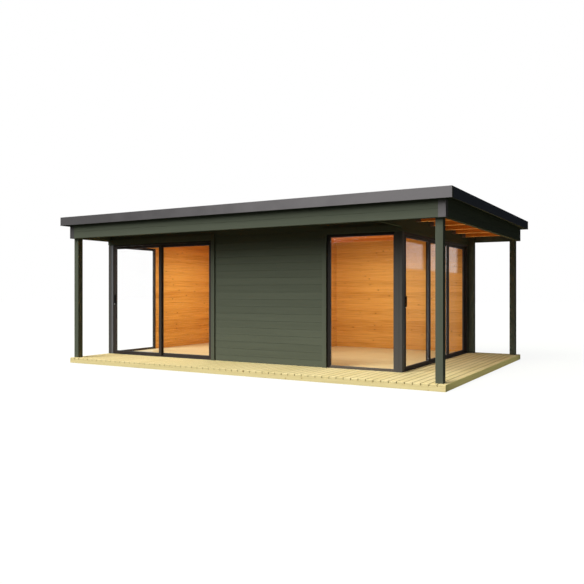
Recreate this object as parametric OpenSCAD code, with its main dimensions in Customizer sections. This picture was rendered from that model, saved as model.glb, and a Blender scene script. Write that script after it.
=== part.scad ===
// Flat-roofed timber garden house with two rooms, glazed corners, sliding
// doors and an L-shaped roofed terrace along its front and right side.
// Millimetres, +Z up. The origin is on the ground under the middle of the
// terrace deck. The front looks to -Y, the side terrace lies at +X.

/* [Deck] */
// Length of the whole deck, left to right
deck_len = 6600; // [5600:50:7600]
// Depth of the whole deck, front to back
deck_dep = 4500; // [4000:50:5400]
// Depth of the front terrace, deck edge to house front
front_terrace = 887; // [700:1:1100]
// Width of the side terrace, house side to deck edge
side_terrace = 893; // [700:1:1100]
// Thickness of the deck and floor boards
board_t = 28; // [21:1:34]
// Height of the joists that lie on the ground
joist_h = 60; // [45:1:90]
// Width of each joist
joist_w = 45; // [38:1:60]
// Number of joists under the deck and floor
joist_count = 10; // [7:1:14]
// Thickness of the rim board on the deck's short sides
rim_t = 28; // [20:1:34]

/* [Walls] */
// Thickness of the wall boards
wall_t = 44; // [34:1:58]
// Distance from the left corner post to the board wall
door_unit_w = 2256; // [2100:1:2400]
// Width of the board wall between the front door and window
board_wall_w = 2146; // [1900:1:2300]
// Distance from the house's left face to the partition
partition_at = 2860; // [2500:10:3000]
// Width of the board wall between the side door and the rear post
pier_w = 66; // [40:1:110]
// Height of every door and window unit, from the deck up
unit_h = 1990; // [1850:5:2200]
// Width of the left corner post, along the front
left_post_w = 100; // [80:1:110]
// Depth of the left corner post, front to back
left_post_d = 100; // [80:1:120]
// Width of the right corner post, along the front
right_post_w = 78; // [70:1:100]
// Depth of the right corner post, front to back
right_post_d = 90; // [85:1:120]
// Thickness of the trim boards round the front units
trim_t = 25; // [15:1:35]
// Width of the trim boards beside the front units
trim_w = 70; // [50:1:90]
// Height of the trim boards over the front units
trim_h = 93; // [60:1:110]

/* [Beams and posts] */
// How far the underside of the beams lies above the units
beam_rise = 62; // [40:1:150]
// Height of beam that shows below the metal roof edge
band_h = 217; // [180:1:260]
// Thickness of the front and rear beams
front_beam_t = 75; // [50:1:90]
// Thickness of the side beam
side_beam_t = 55; // [40:1:80]
// Thickness of the fascia on the left and rear walls
fascia_t = 16; // [10:1:22]
// Width of each square terrace post
post_w = 100; // [80:1:120]
// How far a post runs up behind the beams
post_lap = 160; // [80:1:200]
// Leg length of the metal trims on the beam corners
corner_trim_w = 95; // [60:1:120]
// Thickness of the metal corner trims
corner_trim_t = 2; // [1:0.5:4]

/* [Roof] */
// Overhang of the roof edge past the beams
overhang = 113; // [90:1:160]
// Height of the metal roof edge
roof_edge_h = 142; // [120:1:180]
// Thickness of the metal roof edge
roof_edge_t = 2; // [1:0.5:4]
// Width of the metal flange on top of the roof edge
roof_flange = 60; // [40:1:80]
// Thickness of the timber behind the metal roof edge
edge_board_t = 28; // [20:1:34]
// Length of the metal drip below the edge timber
drip = 6; // [3:1:12]
// Fall of the roof to the back, in degrees
roof_fall = 1.4; // [1:0.1:1.4]
// Thickness of the roof boards
roof_board_t = 19; // [16:1:22]
// Depth of the roof boards' top below the metal edge at the front
roof_sink = 9; // [8:1:12]
// Thickness of the roof covering
membrane_t = 4; // [3:1:6]
// Width of each rafter
rafter_w = 45; // [36:1:60]
// Height of each rafter
rafter_h = 170; // [120:1:180]
// Distance from one rafter to the next
rafter_pitch = 597; // [500:1:610]
// Distance from the deck's front edge to the first rafter
first_rafter = 286; // [220:1:300]
// Length of each steel rafter hanger
hanger_len = 70; // [50:1:90]
// Height of each hanger's cheeks
hanger_h = 105; // [70:1:110]
// Thickness of the hanger steel
hanger_t = 2; // [1.5:0.5:3]

/* [Sliding doors] */
// Distance from the wall face back to a door frame
frame_setback = 6; // [4:1:12]
// Depth of each door frame, with its two tracks
frame_d = 88; // [88:1:100]
// Height of the door sill
sill_h = 15; // [12:1:20]
// Height of the door head
head_h = 29; // [20:1:35]
// Width of the left jamb of the front door frame
front_jamb = 12; // [10:1:25]
// Width of the right jamb of the front door frame
front_end_jamb = 37; // [20:1:50]
// Width of the jambs of the side door frame
side_jamb = 20; // [15:1:30]
// Thickness of every leaf
leaf_t = 30; // [28:1:32]
// Distance from a frame's face back to the outer leaf
leaf_setback = 6; // [5:1:10]
// Gap between the outer and the inner leaf
track_gap = 6; // [6:1:8]
// Gap round a sliding leaf in its frame
leaf_gap = 5; // [5:1:8]
// Running gap under the runners of a sliding leaf
runner_gap = 0.3; // [0.2:0.1:0.5]
// Length of each runner under a sliding leaf
runner_len = 80; // [50:1:120]
// Width of each runner
runner_w = 12; // [8:1:20]
// Stile width of the front door leaves
front_stile = 58; // [45:1:75]
// Width of the stile that carries the pull of the front door
front_lock_stile = 40; // [36:1:60]
// Stile width of the sliding leaf in the side door
side_stile = 82; // [60:1:90]
// Stile width of the fixed leaves in the side door
fixed_stile = 61; // [50:1:70]
// Length of the sliding leaf in the side door
side_leaf_len = 1168; // [1100:1:1300]
// How far the first fixed leaf in the side door laps behind the sliding one
side_lap = 41; // [30:1:60]
// Height of the rails of every leaf
rail_h = 38; // [34:1:60]
// Thickness of all glass units
glass_t = 20; // [16:1:24]

/* [Handles] */
// Height of the middle of each pull above the deck
handle_at = 998; // [900:1:1100]
// Length of each pull
handle_len = 162; // [120:1:200]
// Width of each pull
handle_w = 22; // [16:1:28]
// How far each pull stands off its leaf
handle_out = 30; // [24:1:40]
// Thickness of the pull's bar
handle_bar = 10; // [8:1:14]
// Radius of the lock cylinder below each pull
lock_r = 9; // [7:1:11]
// How far the lock cylinder stands off its leaf
lock_out = 12; // [8:1:18]
// Distance from the foot of each pull down to the middle of its lock
lock_drop = 18; // [14:1:40]

/* [Windows] */
// Distance from the wall face back to a window frame
window_setback = 8; // [5:1:9]
// Depth of a window frame
window_d = 36; // [30:1:36]
// Width of the side bars of a window frame
window_bar = 54; // [40:1:65]
// Height of the bottom bar of a window frame
window_foot = 32; // [20:1:40]
// Height of the top bar of a window frame
window_head = 40; // [30:1:60]
// Length of the window in the left wall
west_window_len = 1104; // [900:1:1300]

/* [Hidden] */
$fn = 48;
// How far a cut runs past the faces that it goes through
cut = 1;
// Gap between the roof boards and the timbers that carry them
roof_seat = 0.3;

// Deck
front_y = -deck_dep / 2;
rear_y = deck_dep / 2;
left_x = -deck_len / 2;
right_x = deck_len / 2;
deck_top = joist_h + board_t;

// House box: outer faces of its walls
house_x0 = left_x + fascia_t;
house_x1 = right_x - side_terrace;
house_y0 = front_y + front_terrace;
house_y1 = rear_y - fascia_t;
unit_top = deck_top + unit_h;

// Front elevation, from left to right
door_x0 = house_x0 + left_post_w;
door_x1 = door_x0 + door_unit_w;
window_x0 = door_x1 + board_wall_w;
window_x1 = house_x1 - right_post_w;
partition_x = house_x0 + partition_at;

// Side and left elevations, from front to back
side_y0 = house_y0 + right_post_d;
side_y1 = rear_y - front_beam_t - post_w - pier_w;
west_y0 = house_y0 + left_post_d;
west_y1 = west_y0 + west_window_len;

// Roof and beam levels
beam_z = unit_top + beam_rise;
edge_z = beam_z + band_h;
edge_top = edge_z + roof_edge_h;
edge_out_x = right_x + overhang;
edge_out_y = rear_y + overhang;
timber_x = edge_out_x - roof_edge_t;
timber_y = edge_out_y - roof_edge_t;
boards_x = timber_x - edge_board_t;
boards_y = timber_y - edge_board_t;
boards_z = edge_top - roof_sink - roof_board_t;

// Underside of the roof boards at depth y, and the tops of what carries them
function boards_under(y) = boards_z - (y + boards_y) * tan(roof_fall);
function under_roof(y) = boards_under(y) - roof_seat;

// Leaf levels and depths behind the outer face of a wall
leaf_z0 = deck_top + sill_h + leaf_gap;
leaf_z1 = unit_top - head_h - leaf_gap;
outer_leaf = frame_setback + leaf_setback;
inner_leaf = outer_leaf + leaf_t + track_gap;
pane_z0 = leaf_z0 + rail_h;
pane_z1 = leaf_z1 - rail_h;

// Leaf ends: the front leaves are alike and lap by one stile
front_run0 = door_x0 + front_jamb + leaf_gap;
front_run1 = door_x1 - front_end_jamb;
front_leaf_len = (front_run1 - front_run0 + front_stile) / 2;
front_meet = front_run0 + front_leaf_len;
side_run0 = side_y0 + side_jamb + leaf_gap;
side_run1 = side_y1 - side_jamb;
side_meet = side_run0 + side_leaf_len;
side_fixed0 = side_meet - side_lap;
side_mullion = (side_meet + side_run1 + fixed_stile / 2) / 2;

// Front faces of the rafters, as many as fit in front of the rear posts
last_rafter = rear_y - front_beam_t - post_w - hanger_t - rafter_w;
rafter_ys = [for (y = [front_y + first_rafter:rafter_pitch:last_rafter]) y];
room_ys = [for (y = rafter_ys) if (y > house_y0 + wall_t && y + rafter_w < house_y1 - wall_t) y];

green = "#4b5244";
dark_green = "#3c4237";
pine = "#e2cf94";
wood = "#d08a44";
anthracite = "#46474b";
metal = "#5d5b5c";
glass = "#b9c9cf";
black = "#1c1c1e";

// Box between two corners
module block(x0, x1, y0, y1, z0, z1) {
    translate([x0, y0, z0])
        cube([x1 - x0, y1 - y0, z1 - z0]);
}

// Side outline given as [y, z] points, run from x0 to x1
module run_x(x0, x1, outline) {
    translate([x0, 0, 0])
        rotate([90, 0, 90])
            linear_extrude(height = x1 - x0)
                polygon(outline);
}

// Upright block whose top is cut to the slope of the roof
module under_roof_block(x0, x1, y0, y1, z0) {
    run_x(x0, x1, [[y0, z0], [y1, z0], [y1, under_roof(y1)], [y0, under_roof(y0)]]);
}

// One rafter whose front face is at y
module rafter(x0, x1, y) {
    y1 = y + rafter_w;
    top0 = under_roof(y);
    top1 = under_roof(y1);
    run_x(x0, x1, [[y, top0 - rafter_h], [y1, top1 - rafter_h], [y1, top1], [y, top0]]);
}

// Steel stirrup round the foot of a rafter whose front face is at y
module hanger(x0, y) {
    y1 = y + rafter_w;
    low0 = under_roof(y) - rafter_h;
    low1 = under_roof(y1) - rafter_h;
    run_x(x0, x0 + hanger_len, [
        [y - hanger_t, low0 - hanger_t], [y1 + hanger_t, low1 - hanger_t],
        [y1 + hanger_t, low1 + hanger_h], [y1, low1 + hanger_h], [y1, low1],
        [y, low0], [y, low0 + hanger_h], [y - hanger_t, low0 + hanger_h]
    ]);
}

// Hangers at both ends of a rafter that spans x0 to x1
module hanger_pair(x0, x1, y) {
    hanger(x0, y);
    hanger(x1 - hanger_len, y);
}

// Upright ring in a wall that faces -Y, its outer face at depth y0
module ring_front(x0, x1, z0, z1, y0, d, side0, side1, foot, head) {
    difference() {
        block(x0, x1, y0, y0 + d, z0, z1);
        block(x0 + side0, x1 - side1, y0 - cut, y0 + d + cut, z0 + foot, z1 - head);
    }
}

// Upright ring in a side wall, from x0 to x0 + d, along Y from y0 to y1
module ring_side(y0, y1, z0, z1, x0, d, side0, side1, foot, head) {
    difference() {
        block(x0, x0 + d, y0, y1, z0, z1);
        block(x0 - cut, x0 + d + cut, y0 + side0, y1 - side1, z0 + foot, z1 - head);
    }
}

// Joists from side rim to side rim; the outer two close the deck's long edges
module joists() {
    step = (deck_dep - joist_w) / (joist_count - 1);
    color(pine)
        for (i = [0:joist_count - 1])
            translate([left_x + rim_t, front_y + i * step, 0])
                cube([deck_len - 2 * rim_t, joist_w, joist_h]);
}

module side_rims() {
    color(pine) {
        block(left_x, left_x + rim_t, front_y, rear_y, 0, joist_h);
        block(right_x - rim_t, right_x, front_y, rear_y, 0, joist_h);
    }
}

module front_deck() {
    color(pine)
        block(left_x, house_x1, front_y, house_y0, joist_h, deck_top);
}

module side_deck() {
    color(pine)
        block(house_x1, right_x, front_y, rear_y, joist_h, deck_top);
}

module house_floor() {
    color(pine)
        block(left_x, house_x1, house_y0, rear_y, joist_h, deck_top);
}

module front_wall() {
    color(green)
        under_roof_block(door_x1, window_x0, house_y0, house_y0 + wall_t, deck_top);
}

module west_wall() {
    color(green)
        under_roof_block(house_x0, house_x0 + wall_t, west_y1, house_y1 - wall_t, deck_top);
}

module rear_wall() {
    color(green)
        under_roof_block(house_x0, house_x1, house_y1 - wall_t, house_y1, deck_top);
}

// Short wall between the side door and the rear wall
module east_pier() {
    color(green)
        under_roof_block(house_x1 - wall_t, house_x1, side_y1, house_y1 - wall_t, deck_top);
}

module partition() {
    color(wood)
        under_roof_block(partition_x, partition_x + wall_t, house_y0 + wall_t, house_y1 - wall_t, deck_top);
}

// Wall boards over the front door and over the front window
module front_headers() {
    color(green) {
        under_roof_block(house_x0 + wall_t, door_x1, house_y0, house_y0 + wall_t, unit_top);
        under_roof_block(window_x0, house_x1 - wall_t, house_y0, house_y0 + wall_t, unit_top);
    }
}

// Header in a side wall that runs on over the terrace to the front beam
module long_header(x0, y1) {
    y0 = front_y + front_beam_t;
    run_x(x0, x0 + wall_t, [
        [y0, beam_z], [house_y0, beam_z], [house_y0, unit_top],
        [y1, unit_top], [y1, under_roof(y1)], [y0, under_roof(y0)]
    ]);
}

module west_header() {
    color(green)
        long_header(house_x0, west_y1);
}

module east_header() {
    color(green)
        long_header(house_x1 - wall_t, side_y1);
}

module front_beam() {
    color(green)
        under_roof_block(left_x, right_x, front_y, front_y + front_beam_t, beam_z);
}

module side_beam() {
    color(dark_green)
        under_roof_block(right_x - side_beam_t, right_x, front_y + front_beam_t, rear_y - front_beam_t, beam_z);
}

module rear_beam() {
    color(green)
        under_roof_block(house_x1, right_x, rear_y - front_beam_t, rear_y, beam_z);
}

module west_fascia() {
    color(green)
        under_roof_block(left_x, house_x0, front_y + front_beam_t, rear_y, beam_z);
}

module rear_fascia() {
    color(green)
        under_roof_block(house_x0, house_x1, house_y1, rear_y, beam_z);
}

// Two posts behind the side beam, one at the house's rear corner, and one
// on the left that ends under the header
module porch_posts() {
    post_y0 = front_y + front_beam_t;
    post_y1 = rear_y - front_beam_t - post_w;
    post_x = right_x - side_beam_t - post_w;
    color(green) {
        block(house_x0, house_x0 + post_w, post_y0, post_y0 + post_w, deck_top, beam_z);
        block(post_x, post_x + post_w, post_y0, post_y0 + post_w, deck_top, beam_z + post_lap);
        block(post_x, post_x + post_w, post_y1, post_y1 + post_w, deck_top, beam_z + post_lap);
        block(house_x1, house_x1 + post_w, post_y1, post_y1 + post_w, deck_top, beam_z + post_lap);
    }
}

// Metal-clad posts in the two glazed corners
module corner_posts() {
    color(anthracite) {
        block(house_x0, door_x0, house_y0, west_y0, deck_top, unit_top);
        block(window_x1, house_x1, house_y0, side_y0, deck_top, unit_top);
    }
}

// Folded metal angles on the four beam corners
module beam_corner_trims() {
    color(metal)
        for (sx = [-1, 1], sy = [-1, 1])
            at_beam_corner(sx, sy)
                linear_extrude(height = band_h)
                    polygon([
                        [corner_trim_t, corner_trim_t],
                        [-corner_trim_w, corner_trim_t], [-corner_trim_w, 0],
                        [0, 0], [0, -corner_trim_w], [corner_trim_t, -corner_trim_w]
                    ]);
}

// Puts what is drawn round a +X +Y corner on the beam corner of that sign
module at_beam_corner(sx, sy) {
    translate([sx * right_x, sy * rear_y, beam_z])
        mirror([sx < 0 ? 1 : 0, 0, 0])
            mirror([0, sy < 0 ? 1 : 0, 0])
                children();
}

module porch_rafters() {
    color(wood) {
        for (y = rafter_ys)
            rafter(house_x1, right_x - side_beam_t, y);
        rafter(house_x0 + wall_t, house_x1 - wall_t, rafter_ys[0]);
    }
}

module room_rafters() {
    color(wood)
        for (y = room_ys) {
            rafter(house_x0 + wall_t, partition_x, y);
            rafter(partition_x + wall_t, house_x1 - wall_t, y);
        }
}

module rafter_hangers() {
    color(black) {
        for (y = rafter_ys)
            hanger_pair(house_x1, right_x - side_beam_t, y);
        hanger_pair(house_x0 + wall_t, house_x1 - wall_t, rafter_ys[0]);
        for (y = room_ys) {
            hanger_pair(house_x0 + wall_t, partition_x, y);
            hanger_pair(partition_x + wall_t, house_x1 - wall_t, y);
        }
    }
}

// Layer of the roof between two heights above the boards' underside
module roof_layer(low, high) {
    y = boards_y;
    run_x(-boards_x, boards_x, [
        [-y, boards_under(-y) + low], [y, boards_under(y) + low],
        [y, boards_under(y) + high], [-y, boards_under(-y) + high]
    ]);
}

module roof_boards() {
    color(wood)
        roof_layer(0, roof_board_t);
}

module roof_membrane() {
    color(black)
        roof_layer(roof_board_t, roof_board_t + membrane_t);
}

module edge_boards_long() {
    color(dark_green)
        for (side = [-1, 1])
            translate([-timber_x, side * (timber_y - edge_board_t / 2) - edge_board_t / 2, edge_z + drip])
                cube([2 * timber_x, edge_board_t, roof_edge_h - roof_edge_t - drip]);
}

module edge_boards_short() {
    color(dark_green)
        for (side = [-1, 1])
            translate([side * (timber_x - edge_board_t / 2) - edge_board_t / 2, -boards_y, edge_z + drip])
                cube([edge_board_t, 2 * boards_y, roof_edge_h - roof_edge_t - drip]);
}

// Folded sheet over the edge timber: outer leg and top flange, as [out, z]
// points measured from the outer face of the metal
function edge_sheet() = [
    [0, edge_z], [0, edge_top], [-roof_flange, edge_top],
    [-roof_flange, edge_top - roof_edge_t],
    [-roof_edge_t, edge_top - roof_edge_t], [-roof_edge_t, edge_z]
];

module roof_edge_long() {
    color(metal)
        for (side = [-1, 1])
            run_x(-edge_out_x, edge_out_x, [for (p = edge_sheet()) [side * (edge_out_y + p[0]), p[1]]]);
}

// The short sides stop against the long ones' flanges
module roof_edge_short() {
    color(metal)
        for (side = [-1, 1])
            translate([side * edge_out_x, edge_out_y - roof_flange, 0])
                mirror([side < 0 ? 1 : 0, 0, 0])
                    rotate([90, 0, 0])
                        linear_extrude(height = 2 * (edge_out_y - roof_flange))
                            polygon(edge_sheet());
}

module front_door_frame() {
    color(anthracite)
        ring_front(door_x0, door_x1, deck_top, unit_top, house_y0 + frame_setback, frame_d,
            front_jamb, front_end_jamb, sill_h, head_h);
}

module side_door_frame() {
    color(anthracite)
        ring_side(side_y0, side_y1, deck_top, unit_top, house_x1 - frame_setback - frame_d, frame_d,
            side_jamb, side_jamb, sill_h, head_h);
}

module front_window_frame() {
    color(anthracite)
        ring_front(window_x0, window_x1, deck_top, unit_top, house_y0 + window_setback, window_d,
            window_bar, window_bar, window_foot, window_head);
}

module west_window_frame() {
    color(anthracite)
        ring_side(west_y0, west_y1, deck_top, unit_top, house_x0 + window_setback, window_d,
            window_bar, window_bar, window_foot, window_head);
}

// Panes of the two windows, in the middle of their frames
module window_glass() {
    inset = window_setback + (window_d - glass_t) / 2;
    z0 = deck_top + window_foot;
    z1 = unit_top - window_head;
    color(glass) {
        block(window_x0 + window_bar, window_x1 - window_bar,
            house_y0 + inset, house_y0 + inset + glass_t, z0, z1);
        block(house_x0 + inset, house_x0 + inset + glass_t,
            west_y0 + window_bar, west_y1 - window_bar, z0, z1);
    }
}

// Fixed leaves stand on the sill and reach the head
module front_fixed_leaf() {
    foot = leaf_gap + rail_h;
    color(anthracite)
        ring_front(front_meet - front_stile, front_run1, deck_top + sill_h, unit_top - head_h,
            house_y0 + inner_leaf, leaf_t, front_stile, front_stile, foot, foot);
}

module side_fixed_leaves() {
    foot = leaf_gap + rail_h;
    x0 = house_x1 - inner_leaf - leaf_t;
    color(anthracite)
        difference() {
            block(x0, x0 + leaf_t, side_fixed0, side_run1, deck_top + sill_h, unit_top - head_h);
            block(x0 - cut, x0 + leaf_t + cut, side_fixed0 + fixed_stile, side_mullion - fixed_stile,
                pane_z0, pane_z1);
            block(x0 - cut, x0 + leaf_t + cut, side_mullion + fixed_stile, side_run1 - fixed_stile,
                pane_z0, pane_z1);
        }
}

module fixed_leaf_glass() {
    inset = inner_leaf + (leaf_t - glass_t) / 2;
    x1 = house_x1 - inset;
    color(glass) {
        block(front_meet, front_run1 - front_stile,
            house_y0 + inset, house_y0 + inset + glass_t, pane_z0, pane_z1);
        block(x1 - glass_t, x1, side_fixed0 + fixed_stile, side_mullion - fixed_stile, pane_z0, pane_z1);
        block(x1 - glass_t, x1, side_mullion + fixed_stile, side_run1 - fixed_stile, pane_z0, pane_z1);
    }
}

// Sliding leaf of the front door, on two runners
module front_leaf() {
    y0 = house_y0 + outer_leaf;
    mid = y0 + leaf_t / 2;
    color(anthracite) {
        ring_front(front_run0, front_meet, leaf_z0, leaf_z1, y0, leaf_t,
            front_lock_stile, front_stile, rail_h, rail_h);
        for (x = [front_run0 + runner_len, front_meet - 2 * runner_len])
            block(x, x + runner_len, mid - runner_w / 2, mid + runner_w / 2,
                leaf_z0 - leaf_gap + runner_gap, leaf_z0);
    }
}

module front_leaf_glass() {
    y0 = house_y0 + outer_leaf + (leaf_t - glass_t) / 2;
    color(glass)
        block(front_run0 + front_lock_stile, front_meet - front_stile, y0, y0 + glass_t, pane_z0, pane_z1);
}

// Sliding leaf of the side door, on two runners
module side_leaf() {
    x0 = house_x1 - outer_leaf - leaf_t;
    mid = x0 + leaf_t / 2;
    color(anthracite) {
        ring_side(side_run0, side_meet, leaf_z0, leaf_z1, x0, leaf_t,
            side_stile, side_stile, rail_h, rail_h);
        for (y = [side_run0 + runner_len, side_meet - 2 * runner_len])
            block(mid - runner_w / 2, mid + runner_w / 2, y, y + runner_len,
                leaf_z0 - leaf_gap + runner_gap, leaf_z0);
    }
}

module side_leaf_glass() {
    x1 = house_x1 - outer_leaf - (leaf_t - glass_t) / 2;
    color(glass)
        block(x1 - glass_t, x1, side_run0 + side_stile, side_meet - side_stile, pane_z0, pane_z1);
}

// Bow pull and lock cylinder, drawn on a leaf whose face is at y = 0 and
// looks to -Y, with x = 0 in the middle of the stile
module pull() {
    z0 = deck_top + handle_at - handle_len / 2;
    z1 = z0 + handle_len;
    color(black) {
        block(-handle_w / 2, handle_w / 2, -handle_out, handle_bar - handle_out, z0, z1);
        block(-handle_w / 2, handle_w / 2, -handle_out, 0, z0, z0 + handle_bar);
        block(-handle_w / 2, handle_w / 2, -handle_out, 0, z1 - handle_bar, z1);
        translate([0, 0, z0 - lock_drop])
            rotate([90, 0, 0])
                cylinder(h = lock_out, r = lock_r);
    }
}

module front_leaf_handle() {
    translate([front_run0 + front_lock_stile / 2, house_y0 + outer_leaf, 0])
        pull();
}

module side_leaf_handle() {
    translate([house_x1 - outer_leaf, side_run0 + side_stile / 2, 0])
        rotate([0, 0, 90])
            pull();
}

// Raised boards over and beside the front units, cut away round the long
// headers where these run out over the terrace
module unit_trims() {
    top = unit_top + trim_h;
    color(green)
        difference() {
            translate([0, house_y0, 0])
                rotate([90, 0, 0])
                    linear_extrude(height = trim_t) {
                        polygon([
                            [house_x0, unit_top], [door_x1, unit_top], [door_x1, deck_top],
                            [door_x1 + trim_w, deck_top], [door_x1 + trim_w, top], [house_x0, top]
                        ]);
                        polygon([
                            [window_x0 - trim_w, deck_top], [window_x0, deck_top], [window_x0, unit_top],
                            [house_x1, unit_top], [house_x1, top], [window_x0 - trim_w, top]
                        ]);
                    }
            for (x = [house_x0, house_x1 - wall_t])
                block(x, x + wall_t, house_y0 - trim_t - cut, house_y0, beam_z, top + cut);
        }
}

joists();
side_rims();
front_deck();
side_deck();
house_floor();
front_wall();
west_wall();
rear_wall();
east_pier();
partition();
front_headers();
west_header();
east_header();
front_beam();
side_beam();
rear_beam();
west_fascia();
rear_fascia();
porch_posts();
corner_posts();
beam_corner_trims();
porch_rafters();
room_rafters();
rafter_hangers();
roof_boards();
roof_membrane();
edge_boards_long();
edge_boards_short();
roof_edge_long();
roof_edge_short();
front_door_frame();
side_door_frame();
front_window_frame();
west_window_frame();
window_glass();
front_fixed_leaf();
side_fixed_leaves();
fixed_leaf_glass();
front_leaf();
front_leaf_glass();
front_leaf_handle();
side_leaf();
side_leaf_glass();
side_leaf_handle();
unit_trims();
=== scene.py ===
from math import cos, floor, radians, sin

import bmesh
import bpy
from mathutils import Matrix, Vector


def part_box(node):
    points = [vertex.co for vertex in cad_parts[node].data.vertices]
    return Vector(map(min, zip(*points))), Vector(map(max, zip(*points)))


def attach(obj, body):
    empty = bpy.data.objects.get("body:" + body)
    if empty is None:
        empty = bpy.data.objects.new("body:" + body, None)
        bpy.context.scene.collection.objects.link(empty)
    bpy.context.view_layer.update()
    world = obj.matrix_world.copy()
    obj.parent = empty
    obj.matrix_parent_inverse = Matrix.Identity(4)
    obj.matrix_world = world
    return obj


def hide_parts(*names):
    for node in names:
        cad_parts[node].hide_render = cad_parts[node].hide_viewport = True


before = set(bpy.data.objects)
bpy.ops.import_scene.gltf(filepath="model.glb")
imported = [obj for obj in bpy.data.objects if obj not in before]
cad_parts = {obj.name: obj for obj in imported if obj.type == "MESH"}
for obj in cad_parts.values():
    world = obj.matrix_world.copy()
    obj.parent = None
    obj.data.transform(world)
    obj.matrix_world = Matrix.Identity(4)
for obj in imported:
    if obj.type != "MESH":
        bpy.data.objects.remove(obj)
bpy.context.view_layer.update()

# Camera: a level view from the front right, a little below eye height, that
# takes in the whole house.
EYE = (5.699, -10.075, 1.232)
TURN = 30.21
LENS = 40.32
FILM = 36
SHIFT = (-0.0011, -0.0013)

camera = bpy.data.cameras.new("camera")
camera.lens = LENS
camera.sensor_width = FILM
camera.shift_x, camera.shift_y = SHIFT
viewer = bpy.data.objects.new("camera", camera)
viewer.location = EYE
viewer.rotation_euler = (radians(90), 0, radians(TURN))
bpy.context.scene.collection.objects.link(viewer)
bpy.context.scene.camera = viewer
bpy.context.scene.view_settings.view_transform = "Standard"


# Daylight: a wide sun at the front left with bright sky above and below it, and
# a weak even sky, which the camera, metal and glass see as white. Panels light
# the rooms, the side terrace and the two hidden sides.
DAYLIGHT = (
    # name, height, turn from the front to the left, width, all in degrees, power
    ("sun", 36, 24, 46, 2.95),
    ("high", 64, 20, 40, 1.15),
    ("low", 17, 28, 26, 1.35),
)
SKY = (0.066, 0.075, 0.100, 1)
WHITE = (1, 1, 1, 1)
PANELS = (
    # name, middle, width and length, which way it shines, power, spread in degrees
    ("left_room", (-1.8, 0.4, 2.12), (1.5, 1.9), (0, 0, -1), 31, 180),
    ("left_ceiling", (-1.8, 0.4, 1.75), (1.5, 1.9), (0, 0, 1), 6, 180),
    ("right_room", (1.0, 0.4, 2.12), (1.5, 1.9), (0, 0, -1), 28, 180),
    ("right_ceiling", (1.0, 0.4, 1.75), (1.5, 1.9), (0, 0, 1), 2.5, 180),
    ("right_wall", (1.0, -0.9, 1.2), (2.0, 1.4), (0, 1, 0), 8.5, 110),
    ("behind", (-2.2, 7.5, 2.2), (4, 3), (0, -1, 0), 120, 180),
    ("beside", (-9, 2.2, 2.2), (4, 3), (1, 0, 0), 45, 180),
    ("under_roof", (2.95, 0.2, 0.4), (0.5, 3.4), (0, 0, 1), 6.5, 70),
    ("beside_deck", (4.4, 0, 0.15), (4.4, 0.15), (-1, 0, 0), 2, 60),
)
DAY_COLOUR = (1, 0.97, 0.93)
FLOOR_COLOUR = (1, 0.72, 0.40)


class Value:
    """One shader value: a socket whose sums add their own Math nodes."""

    def __init__(self, shader, socket):
        self.shader = shader
        self.socket = socket

    def math(self, operation, *values):
        return self.shader.node("Math", dict(enumerate(values)), {"operation": operation})

    def __add__(self, other):
        return self.math("ADD", self, other)

    __radd__ = __add__

    def __sub__(self, other):
        return self.math("SUBTRACT", self, other)

    def __rsub__(self, other):
        return self.math("SUBTRACT", other, self)

    def __mul__(self, other):
        return self.math("MULTIPLY", self, other)

    __rmul__ = __mul__

    def __truediv__(self, other):
        return self.math("DIVIDE", self, other)

    def __pow__(self, other):
        return self.math("POWER", self, other)

    def whole(self):
        return self.math("FLOOR", self)

    def rest(self):
        return self.math("FRACT", self)

    def step(self, low, high):
        """0 below low and 1 above high, with a smooth rise between."""
        sockets = {"Value": self, "From Min": low, "From Max": high}
        return self.shader.node("MapRange", sockets, {"interpolation_type": "SMOOTHSTEP"})

    def parts(self):
        """The three numbers of a colour or a vector."""
        split = self.shader.node("SeparateXYZ", {0: self}).socket.node
        return [Value(self.shader, socket) for socket in split.outputs]


class Shader:
    """The node tree of a material or the world, emptied and ready to fill."""

    def __init__(self, owner):
        owner.use_nodes = True
        self.tree = owner.node_tree
        self.tree.nodes.clear()

    def node(self, kind, sockets=None, settings=None, output=0):
        """Adds a node, makes its settings and then fills its sockets."""
        made = self.tree.nodes.new("ShaderNode" + kind)
        for name, setting in (settings or {}).items():
            if name == "stops":
                self.set_stops(made.color_ramp.elements, setting)
            else:
                setattr(made, name, setting)
        for name, value in (sockets or {}).items():
            if isinstance(value, Value):
                self.tree.links.new(value.socket, made.inputs[name])
            else:
                made.inputs[name].default_value = value
        return Value(self, made.outputs[output])

    def set_stops(self, elements, stops):
        while len(elements) < len(stops):
            elements.new(1)
        for element, (position, colour) in zip(elements, stops):
            element.position = position
            element.color = (*colour, 1)

    def show(self, surface, target="Material"):
        output = self.tree.nodes.new("ShaderNodeOutput" + target)
        self.tree.links.new(surface.socket, output.inputs["Surface"])

    def place(self):
        """The point on the object, in metres, as three numbers."""
        return self.node("TexCoord", output="Object").parts()

    def vector(self, x, y, z):
        return self.node("CombineXYZ", {0: x, 1: y, 2: z})

    def noise(self, vector, scale, detail=2):
        return self.node("TexNoise", {"Vector": vector, "Scale": scale, "Detail": detail})

    def ramp(self, value, *stops):
        return self.node("ValToRGB", {0: value}, {"stops": stops})

    def mix(self, share, first, second):
        """A blend of two colours: share 0 is the first, 1 the second."""
        return self.node("Mix", {0: share, 6: first, 7: second}, {"data_type": "RGBA"}, output=2)

    def bump(self, height, depth):
        return self.node("Bump", {"Height": height, "Strength": 1, "Distance": depth})

    def plain_view(self):
        """1 for rays from the camera and for what metal and glass see."""
        rays = self.node("LightPath").socket.node
        kinds = ("Camera", "Glossy", "Transmission")
        camera, glossy, through = [Value(self, rays.outputs[f"Is {kind} Ray"]) for kind in kinds]
        return camera.math("MINIMUM", camera + glossy + through, 1)


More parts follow.
